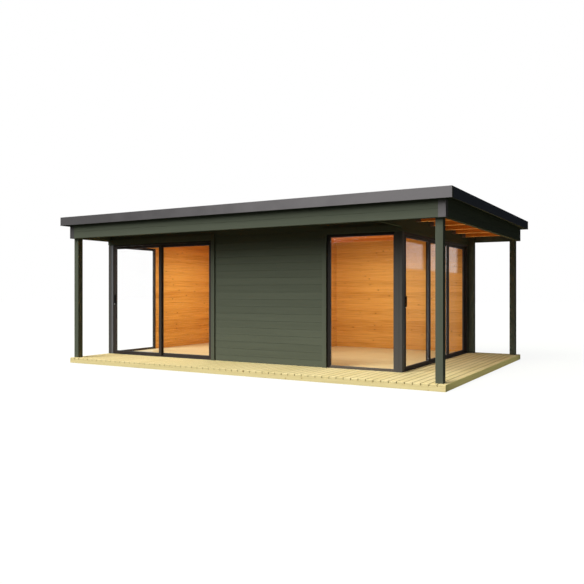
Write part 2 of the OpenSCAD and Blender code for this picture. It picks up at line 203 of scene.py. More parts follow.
for name, height, turn, width, power in DAYLIGHT:
    sun = bpy.data.lights.new(name, "SUN")
    sun.energy = power
    sun.angle = radians(width)
    lamp = bpy.data.objects.new(name, sun)
    level = cos(radians(height))
    way = Vector((sin(radians(turn)) * level, cos(radians(turn)) * level, -sin(radians(height))))
    lamp.rotation_euler = way.to_track_quat("-Z", "Y").to_euler()
    bpy.context.scene.collection.objects.link(lamp)

for name, middle, size, way, power, spread in PANELS:
    panel = bpy.data.lights.new(name, "AREA")
    panel.shape = "RECTANGLE"
    panel.size, panel.size_y = size
    panel.energy = power
    panel.spread = radians(spread)
    panel.color = FLOOR_COLOUR if way[2] > 0 else DAY_COLOUR
    lamp = bpy.data.objects.new(name, panel)
    lamp.location = middle
    lamp.rotation_euler = Vector(way).to_track_quat("-Z", "Y").to_euler()
    lamp.visible_camera = lamp.visible_glossy = lamp.visible_transmission = False
    bpy.context.scene.collection.objects.link(lamp)

world = bpy.data.worlds.new("sky")
bpy.context.scene.world = world
sky = Shader(world)
seen_sky = sky.mix(sky.plain_view(), SKY, WHITE)
sky.show(sky.node("Background", {"Color": seen_sky}), "World")


# Ground: a plain floor that shows as white and keeps a faint shadow. It throws
# back little light, so that the roofed parts of the house stay dark.
GROUND_SIZE = 120
GROUND_COLOUR = (0.125, 0.135, 0.105, 1)
GROUND_GLOW = 0.90
BLACK = (0, 0, 0, 1)

bm = bmesh.new()
bmesh.ops.create_grid(bm, x_segments=1, y_segments=1, size=GROUND_SIZE / 2)
mesh = bpy.data.meshes.new("ground")
bm.to_mesh(mesh)
bm.free()
ground = bpy.data.objects.new("ground", mesh)
bpy.context.scene.collection.objects.link(ground)

paper = bpy.data.materials.new("ground")
page = Shader(paper)
matt = page.node("BsdfDiffuse", {"Color": GROUND_COLOUR})
glow = page.node("Emission", {"Color": WHITE, "Strength": GROUND_GLOW})
nothing = page.node("BsdfTransparent", {"Color": BLACK})
seen_glow = page.node("MixShader", {0: page.plain_view(), 1: nothing, 2: glow})
page.show(page.node("AddShader", {0: matt, 1: seen_glow}))
mesh.materials.append(paper)


# Joists and rims: planed pine laid on edge on the ground under the whole
# deck. The outer two joists and the side rims close the deck's four edges.
EASE = 0.002
SHARP = radians(30)
RING_WIDTH = 0.0045
RING_WANDER = 0.05
HEART_DEEP = 0.03
LOT_SHIFT = 37
KNOT_SPACING = 0.26
KNOT_EDGE = (0.0045, 0.009)
SWIRL_EDGE = (0.004, 0.035)
SWIRL_BEND = 0.012
STREAKS = (2, 85)
FIBRES = (6, 260)
GRAIN_DEPTH = 0.0004
# Painted shade: a dark band along the boards' edges, for the shadow in the gaps
GAP_SHADE = 0.55
GAP_SHADE_WIDTH = 0.005
GAP_SHADE_COLOUR = (0.16, 0.13, 0.045)


def timber(name, along, across, cover, first, shades, heart=None, rough=0.6, gloss=0.0, streaks=1.3, gap=0):
    """Softwood whose grain runs along one axis, in boards laid across another.

    The axes are 0, 1 or 2. Each board covers cover metres, counted from first.
    shades are the pale wood, the dark wood and the knots. heart is where the
    tree's middle lies on the third axis, for boards whose ends show. With a
    gap between the boards, their edges are darkened, a painted shade for the
    shadow in the gaps. STREAKS and FIBRES say how
    many there are to a metre, along the grain and across it.
    """
    material = bpy.data.materials.new(name)
    wood = Shader(material)
    axes = wood.place()
    run, over, deep = axes[along], axes[across], axes[3 - along - across]
    board = ((over - first) / cover).whole()
    lot = wood.node("TexWhiteNoise", {"W": board}, {"noise_dimensions": "1D"}, "Color").parts()
    drift = run + lot[0] * LOT_SHIFT

    # Knots: one to each patch of a jittered grid, of many sizes
    spots = wood.vector(drift / KNOT_SPACING, over / KNOT_SPACING + board * 5.3, 0)
    cells = wood.node("TexVoronoi", {"Vector": spots, "Scale": 1}, {"voronoi_dimensions": "2D"})
    size = Value(wood, cells.socket.node.outputs["Color"]).parts()[0]
    away = cells * KNOT_SPACING / (0.35 + size)
    knot = 1 - away.step(*KNOT_EDGE)
    swirl = (1 - away.step(*SWIRL_EDGE)) ** 2

    # Year rings round a middle that lies beside each board and wanders
    wander = wood.noise(wood.vector(drift * 0.8, over * 6, board), 1, 3)
    aside = over - first - (board + 0.5) * cover + (lot[0] - 0.5) * 0.13
    below = lot[1] * 0.05 + HEART_DEEP if heart is None else deep - heart + lot[1] * 0.04
    radius = (aside * aside + below * below) ** 0.5 + wander * RING_WANDER + swirl * SWIRL_BEND
    ring = (radius / RING_WIDTH).rest() ** 2

    # Long streaks and fibres, finer across than along
    along_streaks, across_streaks = STREAKS
    along_fibres, across_fibres = FIBRES
    streak_place = wood.vector(drift * along_streaks, over * across_streaks, deep * across_streaks + board)
    streak = wood.noise(streak_place, 1, 3)
    fibre_place = wood.vector(drift * along_fibres, over * across_fibres, deep * across_fibres)
    fibre = wood.noise(fibre_place, 1, 2)
    tone = ring * 0.22 + (streak - 0.5) * streaks + (fibre - 0.5) * 0.3 + lot[2] * 0.42 + swirl * 0.25
    pale, dark, knotted = shades
    between = [(a + b) / 2 for a, b in zip(pale, dark)]
    grain = wood.ramp(tone, (0, pale), (0.5, between), (1, dark))
    colour = wood.mix(knot, grain, (*knotted, 1))
    # Painted shade along each board edge, for the shadow in the gap beside it
    if gap:
        half = (cover - gap) / 2
        on_board = ((over - first) / cover).rest() * cover
        from_middle = on_board.math("ABSOLUTE", on_board - half)
        gap_shade = from_middle.step(half - GAP_SHADE_WIDTH, half - GAP_SHADE_WIDTH / 2) * GAP_SHADE
        colour = wood.mix(gap_shade, colour, (*GAP_SHADE_COLOUR, 1))
    sockets = {
        "Base Color": colour,
        "Roughness": rough + (fibre - 0.5) * 0.2,
        "Normal": wood.bump(ring * 0.4 + fibre, GRAIN_DEPTH),
        "Specular IOR Level": gloss,
    }
    wood.show(wood.node("BsdfPrincipled", sockets))
    return material


def eased_copy(node, ease, segments=2):
    """A CAD node's shape with its edges rounded."""
    bm = bmesh.new()
    bm.from_mesh(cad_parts[node].data)
    bmesh.ops.remove_doubles(bm, verts=bm.verts, dist=1e-5)
    bmesh.ops.dissolve_limit(bm, angle_limit=radians(1), verts=bm.verts, edges=bm.edges)
    sharp = [edge for edge in bm.edges if edge.is_manifold and edge.calc_face_angle() > SHARP]
    round_edges(bm, sharp, ease, segments)
    return bm


def round_edges(bm, edges, ease, segments=2):
    bmesh.ops.bevel(
        bm, geom=edges, offset=ease, offset_type="OFFSET", segments=segments,
        profile=0.5, affect="EDGES", material=-1, clamp_overlap=True,
    )


def give_material(bm, number, wanted):
    """Gives a material, by its number, to the faces that pass a test."""
    bm.normal_update()
    for face in bm.faces:
        if wanted(face):
            face.material_index = number


def make_piece(name, bm, materials, nodes=(), body="house"):
    """Turns a bmesh into a piece that rides on a body and stands for nodes."""
    mesh = bpy.data.meshes.new(name)
    bm.to_mesh(mesh)
    bm.free()
    for material in materials:
        mesh.materials.append(material)
    piece = bpy.data.objects.new(name, mesh)
    bpy.context.scene.collection.objects.link(piece)
    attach(piece, body)
    if nodes:
        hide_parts(*nodes)
    return piece


# Painted light: the rims and the boards' outer sides take a paler, yellower copy of the deck pine, for
# faces that stand in shade
RIM_LIT_SHADES = ((0.86, 0.77, 0.31), (0.72, 0.62, 0.22), (0.42, 0.30, 0.11))
END_SHADES = ((0.62, 0.52, 0.26), (0.49, 0.40, 0.18), (0.32, 0.20, 0.07))
deck_low, deck_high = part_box("front_deck")[0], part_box("side_deck")[1]
joist_pine = timber("joist_pine", 0, 2, deck_low.z, 0, END_SHADES)
rim_pine_lit = timber("rim_pine_lit", 1, 2, deck_low.z, 0, RIM_LIT_SHADES)
make_piece("deck_joists", eased_copy("joists", EASE), [joist_pine], ["joists"])
bm = eased_copy("side_rims", EASE)
give_material(bm, 1, lambda face: abs(face.normal.y) > 0.5)
make_piece("deck_side_rims", bm, [rim_pine_lit, joist_pine], ["side_rims"])


# Terrace boards: planed pine from front to back with narrow gaps, screwed to
# every joist. The boards in front of the house stop at its wall.
DECK_SHADES = ((0.82, 0.69, 0.35), (0.69, 0.56, 0.235), (0.44, 0.30, 0.11))
DECK_BOARDS = 62
DECK_GAP = 0.006
DECK_EASE = 0.003
DECK_HEART = 0.020
SCREW_RADIUS = 0.0045
SCREW_HEAD = 0.0006
SCREW_INSET = 0.020
UP = Vector((0, 0, 1))


def block(bm, low, high):
    """Adds a box between two corners and returns its vertices."""
    size = [b - a for a, b in zip(low, high)]
    middle = [(a + b) / 2 for a, b in zip(low, high)]
    corners = bmesh.ops.create_cube(bm, size=1)["verts"]
    bmesh.ops.scale(bm, vec=size, verts=corners)
    bmesh.ops.translate(bm, vec=middle, verts=corners)
    return corners


def edges_of(corners):
    """Every edge once, and in the same order each time."""
    return list(dict.fromkeys(edge for corner in corners for edge in corner.link_edges))


def board(bm, low, high, ease, along=None, segments=1):
    """A box with all its edges eased, or only those that run along one axis."""
    edges = edges_of(block(bm, low, high))
    if along is not None:
        edges = [e for e in edges if abs((e.verts[0].co - e.verts[1].co)[along]) > ease * 2]
    round_edges(bm, edges, ease, segments)


def button(bm, at, axis, radius, height, sides=8):
    """A short disc or rod that stands on a point and looks along an axis."""
    turn = UP.rotation_difference(axis).to_matrix().to_4x4()
    middle = Matrix.Translation(Vector(at) + axis * height / 2)
    bmesh.ops.create_cone(
        bm, cap_ends=True, segments=sides, radius1=radius, radius2=radius * 0.8,
        depth=height, matrix=middle @ turn,
    )


def boxes_of(node):
    """Lowest and highest corner of each solid of a CAD node."""
    bm = bmesh.new()
    bm.from_mesh(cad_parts[node].data)
    bmesh.ops.remove_doubles(bm, verts=bm.verts, dist=1e-5)
    left = set(bm.verts)
    boxes = []
    while left:
        waiting = [left.pop()]
        solid = []
        while waiting:
            vert = waiting.pop()
            solid.append(vert)
            near = {edge.other_vert(vert) for edge in vert.link_edges} & left
            left -= near
            waiting.extend(near)
        low = Vector(min(v.co[axis] for v in solid) for axis in range(3))
        high = Vector(max(v.co[axis] for v in solid) for axis in range(3))
        boxes.append((low, high))
    bm.free()
    return sorted(boxes, key=lambda box: tuple(box[0]))


deck_pitch = (deck_high.x - deck_low.x + DECK_GAP) / DECK_BOARDS
house_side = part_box("side_deck")[0].x
house_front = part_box("front_deck")[1].y
joist_lines = [(low.y + high.y) / 2 for low, high in boxes_of("joists")]

front_boards, side_boards, screws = bmesh.new(), bmesh.new(), bmesh.new()
for number in range(DECK_BOARDS):
    x0 = deck_low.x + number * deck_pitch
    x1 = x0 + deck_pitch - DECK_GAP
    back = house_front if x0 < house_side else deck_high.y
    target = front_boards if x0 < house_side else side_boards
    board(target, (x0, deck_low.y, deck_low.z), (x1, back, deck_high.z), DECK_EASE)
    if x0 < house_side < x1:
        board(side_boards, (house_side, house_front, deck_low.z), (x1, deck_high.y, deck_high.z), DECK_EASE)
    for line in joist_lines:
        if line < back:
            for x in (x0 + SCREW_INSET, x1 - SCREW_INSET):
                button(screws, (x, line, deck_high.z), UP, SCREW_RADIUS, SCREW_HEAD)


def on_deck_side(face):
    return not deck_low.x + DECK_EASE < face.calc_center_median().x < deck_high.x - DECK_EASE


def on_board_end(face):
    return abs(face.normal.y) > 0.9


deck_pine = timber("deck_pine", 1, 0, deck_pitch, deck_low.x, DECK_SHADES, gap=DECK_GAP)
end_pine = timber("end_pine", 1, 0, deck_pitch, deck_low.x, END_SHADES, heart=DECK_HEART, gap=DECK_GAP)
for title, bm, node in (
    ("front_terrace_boards", front_boards, "front_deck"),
    ("side_terrace_boards", side_boards, "side_deck"),
):
    give_material(bm, 2, on_deck_side)
    give_material(bm, 1, on_board_end)
    make_piece(title, bm, [deck_pine, end_pine, rim_pine_lit], [node])


PEEL = 600
PEEL_DEPTH = 0.00005
CLOUDS = 3


def coated_metal(name, colour, rough, metallic=0.0, gloss=0.0, drift=0.0):
    """Coated metal: a fine orange-peel skin, slightly uneven in gloss.

    With a drift the coat pales towards the right end of the house: a painted gradient of light, darker at
    the left end and paler at the right.
    """
    material = bpy.data.materials.new(name)
    coat = Shader(material)
    place = coat.vector(*coat.place())
    peel = coat.noise(place, PEEL, 1)
    cloud = coat.noise(place, CLOUDS, 3)
    darker = [part * (0.86 - drift * 2) for part in colour]
    lighter = [part * (1.12 + drift * 2) for part in colour]
    # The drift is painted light, a gradient along the house from left to right
    tone = 0.5 + (cloud - 0.5) * 0.3 + coat.place()[0] * drift
    sockets = {
        "Base Color": coat.ramp(tone, (0.3, darker), (0.7, lighter)),
        "Roughness": rough + (cloud - 0.5) * 0.12,
        "Metallic": metallic,
        "Normal": coat.bump(peel, PEEL_DEPTH),
        "Specular IOR Level": gloss,
    }
    coat.show(coat.node("BsdfPrincipled", sockets))
    return material


screw_steel = coated_metal("screw_steel", (0.42, 0.40, 0.36), 0.35, 1.0)
make_piece("terrace_screws", screws, [screw_steel])


# House floor: tongued pine boards from left to right, tight against each
# other, that run out under the walls to the deck's rear and left edges.
FLOOR_COVER = 0.121
FLOOR_SHADES = ((0.84, 0.73, 0.40), (0.71, 0.58, 0.27), (0.36, 0.18, 0.06))

low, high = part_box("house_floor")
floor_boards = bmesh.new()
rows = floor((high.y - low.y) / FLOOR_COVER)
for row in range(rows + 1):
    y0 = low.y + row * FLOOR_COVER
    y1 = min(y0 + FLOOR_COVER, high.y)
    board(floor_boards, (low.x, y0, low.z), (high.x, y1, high.z), EASE, along=0)
floor_pine = timber("floor_pine", 0, 1, FLOOR_COVER, low.y, FLOOR_SHADES, rough=0.35, gloss=0.45)
make_piece("house_floor_boards", floor_boards, [floor_pine], ["house_floor"])


# Walls: thick tongued boards stacked on edge, stained dark green outside and
# varnished inside. Their eased edges leave a fine groove at each joint, and
# the joints run at the same levels right round the house and its beams.
WALL_COVER = 0.1145
FIRST_COVER = 0.099
GROOVE = 0.0035
SLIVER = 0.020
PAINT = (0.076, 0.085, 0.061)
ROOM_SHADES = ((0.88, 0.475, 0.105), (0.56, 0.22, 0.026), (0.09, 0.025, 0.006))
STAIN_FIBRES = (7, 190)
STAIN_STREAKS = (0.7, 16)
STAIN_DEPTH = 0.0005

first_joint = deck_high.z + FIRST_COVER
front_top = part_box("front_beam")[1].z
rear_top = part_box("rear_beam")[1].z
roof_slope = (front_top - rear_top) / (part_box("rear_beam")[0].y - deck_low.y)
roof_normal = Vector((0, roof_slope, 1))
roof_point = Vector((0, deck_low.y, front_top))


def paint(name, along, across=2, cover=WALL_COVER, first=first_joint, colour=PAINT):
    """Opaque wood stain: the grain shows as a faint relief and tone."""
    material = bpy.data.materials.new(name)
    stain = Shader(material)
    axes = stain.place()
    run, over, deep = axes[along], axes[across], axes[3 - along - across]
    row = ((over - first) / cover).whole()
    lot = stain.node("TexWhiteNoise", {"W": row}, {"noise_dimensions": "1D"}, "Color").parts()
    along_fibres, across_fibres = STAIN_FIBRES
    fibre_place = stain.vector(run * along_fibres, over * across_fibres + lot[0], deep * across_fibres)
    fibre = stain.noise(fibre_place, 1, 3)
    along_streaks, across_streaks = STAIN_STREAKS
    drift = run * along_streaks + lot[1] * 20
    streak = stain.noise(stain.vector(drift, over * across_streaks, deep * across_streaks), 1, 3)
    tone = (fibre - 0.5) * 0.5 + (streak - 0.5) * 0.8 + (lot[2] - 0.5) * 0.35 + 0.5
    darker = [part * 0.86 for part in colour]
    lighter = [part * 1.13 for part in colour]
    sockets = {
        "Base Color": stain.ramp(tone, (0, darker), (1, lighter)),
        "Roughness": 0.62 + (streak - 0.5) * 0.25,
        "Normal": stain.bump(fibre + streak, STAIN_DEPTH),
        "Specular IOR Level": 0.0,
    }
    stain.show(stain.node("BsdfPrincipled", sockets))
    return material


def stack_boards(bm, low, high, along):
    """Wall boards from one corner to the other, jointed at the house's levels."""
    levels = [low[2]]
    joint = first_joint
    while joint < high[2] - SLIVER:
        if joint > low[2] + SLIVER:
            levels.append(joint)
        joint += WALL_COVER
    levels.append(high[2])
    for z0, z1 in zip(levels, levels[1:]):
        board(bm, (low[0], low[1], z0), (high[0], high[1], z1), GROOVE, along)


def cut_to_roof(bm):
    """Takes off what stands above the underside of the roof boards."""
    every = bm.verts[:] + bm.edges[:] + bm.faces[:]
    cut = bmesh.ops.bisect_plane(
        bm, geom=every, dist=1e-6, plane_co=roof_point, plane_no=roof_normal, clear_outer=True,
    )
    rim = [part for part in cut["geom_cut"] if isinstance(part, bmesh.types.BMEdge)]
    bmesh.ops.holes_fill(bm, edges=rim, sides=0)


def varnish_inside(bm, axis, outward, line):
    """Gives the second material to the faces that look into the room."""
    def looks_in(face):
        inner = (face.calc_center_median()[axis] - line) * outward < 0
        return inner and face.normal[axis] * outward < -0.1

    give_material(bm, 1, looks_in)


paint_x = paint("paint_front", 0)
paint_y = paint("paint_side", 1)
varnish = {"shades": ROOM_SHADES, "rough": 0.42, "gloss": 0.3, "streaks": 2}
room_x = timber("room_pine_front", 0, 2, WALL_COVER, first_joint, **varnish)
room_y = timber("room_pine_side", 1, 2, WALL_COVER, first_joint, **varnish)

# Front wall, which carries on over the door and the window
wall_low, wall_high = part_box("front_wall")
over_low, over_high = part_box("front_headers")
joints_below = floor((over_low.z - first_joint) / WALL_COVER) + 1
full_from = first_joint + joints_below * WALL_COVER
bm = bmesh.new()
stack_boards(bm, wall_low, (wall_high.x, wall_high.y, full_from), 0)
stack_boards(bm, over_low, (wall_low.x, over_high.y, full_from), 0)
stack_boards(bm, (wall_high.x, over_low.y, over_low.z), (over_high.x, over_high.y, full_from), 0)
stack_boards(bm, (over_low.x, over_low.y, full_from), over_high, 0)
cut_to_roof(bm)
varnish_inside(bm, 1, -1, (wall_low.y + wall_high.y) / 2)
make_piece("front_wall_boards", bm, [paint_x, room_x], ["front_wall", "front_headers"])

# Rear wall
low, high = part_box("rear_wall")
bm = bmesh.new()
stack_boards(bm, low, high, 0)
cut_to_roof(bm)
varnish_inside(bm, 1, 1, (low.y + high.y) / 2)
make_piece("rear_wall_boards", bm, [paint_x, room_x], ["rear_wall"])


def side_wall(name, wall, header, outward):
    """A side wall and the header that runs on over the terrace to the beam."""
    wall_low, wall_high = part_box(wall)
    low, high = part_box(header)
    beam_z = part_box("side_beam")[0].z
    bm = bmesh.new()
    stack_boards(bm, wall_low, (wall_high.x, wall_high.y, full_from), 1)
    stack_boards(bm, (low.x, house_front, low.z), (high.x, high.y, full_from), 1)
    over_beam = max(full_from, beam_z)
    stack_boards(bm, (low.x, house_front, full_from), (high.x, wall_high.y, high.z), 1)
    stack_boards(bm, (low.x, low.y, over_beam), (high.x, house_front, high.z), 1)
    cut_to_roof(bm)
    varnish_inside(bm, 0, outward, (low.x + high.x) / 2)
    give_material(bm, 0, lambda face: face.calc_center_median().y < house_front)
    make_piece(name, bm, [paint_y, room_y], [wall, header])


side_wall("west_wall_boards", "west_wall", "west_header", -1)
side_wall("east_wall_boards", "east_pier", "east_header", 1)

# Partition between the two rooms
low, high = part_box("partition")
bm = bmesh.new()
stack_boards(bm, low, high, 1)
cut_to_roof(bm)
make_piece("partition_boards", bm, [room_y], ["partition"])


# Beams and fascias: the same boards stacked under the roof edge, right round
# the terrace and over the left and rear walls.
for node, along, finish in (
    ("front_beam", 0, paint_x),
    ("rear_beam", 0, paint_x),
    ("rear_fascia", 0, paint_x),
    ("side_beam", 1, paint_y),
    ("west_fascia", 1, paint_y),
):
    low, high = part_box(node)
    bm = bmesh.new()
    stack_boards(bm, low, high, along)
    cut_to_roof(bm)
    make_piece(node + "_boards", bm, [finish], [node])


# Terrace posts: square planed timber, stained like the walls, with rounded
# edges. They stand on the deck and run up behind the beams.
POST_EASE = 0.005
ONE_BOARD = 10

post_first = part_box("porch_posts")[0].x - 1
paint_post = paint("paint_post", 2, 0, ONE_BOARD, post_first)
bm = eased_copy("porch_posts", POST_EASE, 3)
make_piece("terrace_posts", bm, [paint_post], ["porch_posts"])


# Beam corner trims: thin folded metal angles that cover the end joints of the
# beams, coated like the roof edge.
TRIM_FOLD = 0.0007

# Painted shade and light: the drift darkens the left trims and pales the right ones
trim_metal = coated_metal("trim_metal", (0.095, 0.089, 0.090), 0.42, drift=0.09)
bm = eased_copy("beam_corner_trims", TRIM_FOLD, 1)
make_piece("beam_corner_angles", bm, [trim_metal], ["beam_corner_trims"])


# Rafters and hangers: planed pine on edge from left to right, paler below and
# darker on the sides, which is painted light and shade, each end in a black
# steel stirrup nailed through both cheeks.
RAFTER_SHADED_SIDES = ((0.78, 0.26, 0.045), (0.56, 0.16, 0.018), (0.16, 0.04, 0.008))
UNDERSIDE_LIT_SHADES = ((0.98, 0.52, 0.19), (0.86, 0.38, 0.10), (0.20, 0.05, 0.010))
RAFTER_COVER = 0.2985
RAFTER_FIRST = -10
STIRRUP_FOLD = 0.0005
NAIL_RADIUS = 0.004
NAIL_HEAD = 0.0015
NAIL_INSET = 0.020
NAIL_ROWS = (0.025, 0.055, 0.085)

# Lit and shaded copies of one pine: the sides take a darker painted shade, the undersides a paler painted
# light from below
rafter_sides_shaded = timber("rafter_sides_shaded", 0, 1, RAFTER_COVER, RAFTER_FIRST, RAFTER_SHADED_SIDES)
rafter_underside_lit = timber("rafter_underside_lit", 0, 1, RAFTER_COVER, RAFTER_FIRST, UNDERSIDE_LIT_SHADES)
for title, node in (("terrace_rafters", "porch_rafters"), ("ceiling_rafters", "room_rafters")):
    bm = eased_copy(node, EASE)
    give_material(bm, 1, lambda face: face.normal.z < -0.5)
    make_piece(title, bm, [rafter_sides_shaded, rafter_underside_lit], [node])

black_steel = coated_metal("black_steel", (0.175, 0.130, 0.115), 0.45)
bm = eased_copy("rafter_hangers", STIRRUP_FOLD, 1)
for low, high in boxes_of("rafter_hangers"):
    for y, way in ((low.y, -1), (high.y, 1)):
        for rise in NAIL_ROWS:
            for x in (low.x + NAIL_INSET, high.x - NAIL_INSET):
                button(bm, (x, y, low.z + rise), Vector((0, way, 0)), NAIL_RADIUS, NAIL_HEAD, 6)
make_piece("rafter_stirrups", bm, [black_steel], ["rafter_hangers"])


# Roof boards: tongued pine from front to back over the rafters, with a grooved
# joint that shows from below. Where they run out past the beams they are stained.
# Painted shade: the roof pine is darker and redder than the wall pine, for the shade under the roof
SHADED_ROOF_SHADES = ((0.40, 0.125, 0.020), (0.26, 0.070, 0.008), (0.10, 0.025, 0.005))
ROOF_COVER = 0.096

low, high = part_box("roof_boards")
board_t = high.z - low.z - roof_slope * (high.y - low.y)
roof_rear = high.y


def tilt_to_roof(bm):
    """Leans level work to the roof's slope, its rear edge kept in place."""
    lean = Matrix.Identity(4)
    lean[2][1] = -roof_slope
    rear_edge = Matrix.Translation((0, -roof_rear, 0))
    bmesh.ops.transform(bm, matrix=lean, space=rear_edge, verts=bm.verts)


def outside_beams(face):
    middle = face.calc_center_median()
    return not all(beams_low[axis] < middle[axis] < beams_high[axis] for axis in (0, 1))


bm = bmesh.new()
columns = floor((high.x - low.x) / ROOF_COVER)
for column in range(columns + 1):
    x0 = low.x + column * ROOF_COVER
    x1 = min(x0 + ROOF_COVER, high.x)
    if x1 - x0 > SLIVER:
        board(bm, (x0, low.y, low.z), (x1, high.y, low.z + board_t), EASE, along=1)
tilt_to_roof(bm)
beams_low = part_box("front_beam")[0]
beams_high = Vector((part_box("front_beam")[1].x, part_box("rear_beam")[1].y, 0))
for normal in (Vector((1, 0, 0)), Vector((0, 1, 0))):
    for corner in (beams_low, beams_high):
        every = bm.verts[:] + bm.edges[:] + bm.faces[:]
        bmesh.ops.bisect_plane(bm, geom=every, dist=1e-6, plane_co=corner, plane_no=normal)
give_material(bm, 1, outside_beams)
roof_pine_shaded = timber("roof_pine_shaded", 1, 0, ROOF_COVER, low.x, SHADED_ROOF_SHADES)
make_piece("roof_deck_boards", bm, [roof_pine_shaded, paint_y], ["roof_boards"])


# Roof covering: dark grey felt in lapped sheets that run from left to right,
# with fine mineral grit.
SHEET_WIDTH = 1.0
LAP = 0.08
LAP_STEP = 0.002
GRIT = 420
GRIT_DEPTH = 0.0008
GRIT_SHADES = ((0.028, 0.029, 0.031), (0.085, 0.086, 0.088))


def felt():
    material = bpy.data.materials.new("roof_felt")
    cover = Shader(material)
    place = cover.vector(*cover.place())
    grit = cover.noise(place, GRIT, 2)
    cloud = cover.noise(place, 1.6, 4)
    tone = grit * 0.6 + cloud * 0.7 - 0.15
    sockets = {
        "Base Color": cover.ramp(tone, (0.2, GRIT_SHADES[0]), (0.8, GRIT_SHADES[1])),
        "Roughness": 0.86 + (cloud - 0.5) * 0.1,
        "Normal": cover.bump(grit, GRIT_DEPTH),
    }
    cover.show(cover.node("BsdfPrincipled", sockets))
    return material


low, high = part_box("roof_membrane")
sheet_t = high.z - low.z - roof_slope * (high.y - low.y)
bm = bmesh.new()
block(bm, low, (high.x, high.y, low.z + sheet_t))
y0 = low.y
while y0 < high.y:
    y1 = min(y0 + LAP, high.y)
    board(bm, (low.x, y0, low.z + sheet_t), (high.x, y1, low.z + sheet_t + LAP_STEP), LAP_STEP / 2)
    y0 += SHEET_WIDTH
tilt_to_roof(bm)
make_piece("roof_felt_sheets", bm, [felt()], ["roof_membrane"])


# Roof edge: a timber kerb wrapped in grey folded sheet, with a lip that
# throws the rain clear of the beams.
LIP_OUT = 0.004
LIP_HIGH = 0.010
LIP_EASE = LIP_OUT * 0.45
EDGE_FOLD = 0.0008

for node, title, finish in (
    ("edge_boards_long", "roof_kerb_long", paint_x),
    ("edge_boards_short", "roof_kerb_short", paint_y),
):
    make_piece(title, eased_copy(node, EASE), [finish], [node])

# Painted light: the drift pales the front and rear edges towards the right end
edge_metal = coated_metal("edge_metal", (0.113, 0.107, 0.108), 0.40, drift=0.09)
# Painted shade: the side edges take a darker, bluer copy of the edge metal
shaded_side_metal = coated_metal("shaded_side_metal", (0.075, 0.080, 0.098), 0.40)
front_low, rear_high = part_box("roof_edge_long")
bm = eased_copy("roof_edge_long", EDGE_FOLD, 1)
lip_top = front_low.z + LIP_HIGH
for y0, y1 in ((front_low.y - LIP_OUT, front_low.y), (rear_high.y, rear_high.y + LIP_OUT)):
    board(bm, (front_low.x, y0, front_low.z), (rear_high.x, y1, lip_top), LIP_EASE)
make_piece("roof_edge_front_rear", bm, [edge_metal], ["roof_edge_long"])
low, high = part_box("roof_edge_short")
bm = eased_copy("roof_edge_short", EDGE_FOLD, 1)
for x0, x1 in ((low.x - LIP_OUT, low.x), (high.x, high.x + LIP_OUT)):
    board(bm, (x0, front_low.y, low.z), (x1, rear_high.y, low.z + LIP_HIGH), LIP_EASE)
make_piece("roof_edge_sides", bm, [shaded_side_metal], ["roof_edge_short"])


# Corner posts: timber clad in anthracite sheet, with a fine open joint between
# the cladding and a cover strip. The left post's cladding laps the wall beside it.
STRIP_SHARE = 0.40
POST_LAP = 0.014
JOINT = 0.003
METAL_EASE = 0.0015

dark_metal = coated_metal("dark_metal", (0.041, 0.034, 0.030), 0.42, gloss=0.01)
post_metal = coated_metal("post_metal", (0.064, 0.061, 0.056), 0.42, gloss=0.02)
# Painted highlight: a paler copy of the post metal, on the left post's cover strip only
strip_highlight_metal = coated_metal("strip_highlight_metal", (0.115, 0.115, 0.120), 0.42, gloss=0.02)
bm = bmesh.new()
for low, high in boxes_of("corner_posts"):
    is_left = high.x < 0
    if is_left:
        low.x -= POST_LAP
    strip = STRIP_SHARE * (high.x - low.x)
    joint = high.x - strip if is_left else low.x + strip
    board(bm, low, (joint - JOINT / 2, high.y, high.z), METAL_EASE)
    board(bm, (joint + JOINT / 2, low.y, low.z), high, METAL_EASE)
    board(bm, (joint - JOINT, low.y + JOINT, low.z), (joint + JOINT, high.y - JOINT, high.z), METAL_EASE)
    # Painted highlight on the left post's cover strip
    if is_left:
        give_material(bm, 1, lambda face: face.calc_center_median().x > joint + JOINT)
make_piece("corner_post_cladding", bm, [post_metal, strip_highlight_metal], ["corner_posts"])


# Door frames: hollow aluminium with a sill of two tracks and a head, set a
# little back from the face of the wall.
FRONT, SIDE = 0, 1
TRACK_GROOVE = 0.006


def upright(wall, across, depth, height):
    """A point from its place along a wall, its depth and its height."""
    return (across, depth, height) if wall == FRONT else (depth, across, height)


def spans(wall, box):
    """How far a box goes along a wall, in depth and in height: a pair each."""
    low, high = box
    return (low[wall], high[wall]), (low[1 - wall], high[1 - wall]), (low.z, high.z)


def bar(bm, wall, width, depth, height, ease=METAL_EASE):
    """An eased bar that fills three such pairs."""
    low = upright(wall, min(width), min(depth), min(height))
    high = upright(wall, max(width), max(depth), max(height))
    board(bm, low, high, ease)


def inside(width, height, members):
    """The clear opening of a ring."""
    first, second, foot, head = members
    return (width[0] + first, width[1] - second), (height[0] + foot, height[1] - head)


def ring(bm, wall, width, depth, height, members, ease=METAL_EASE):
    """Two full-height sides with a foot and a head between them.

    members are the widths of the first side, the second, the foot and the head.
    """
    clear_width, clear_height = inside(width, height, members)
    bar(bm, wall, (width[0], clear_width[0]), depth, height, ease)
    bar(bm, wall, (clear_width[1], width[1]), depth, height, ease)
    bar(bm, wall, clear_width, depth, (height[0], clear_height[0]), ease)
    bar(bm, wall, clear_width, depth, (clear_height[1], height[1]), ease)


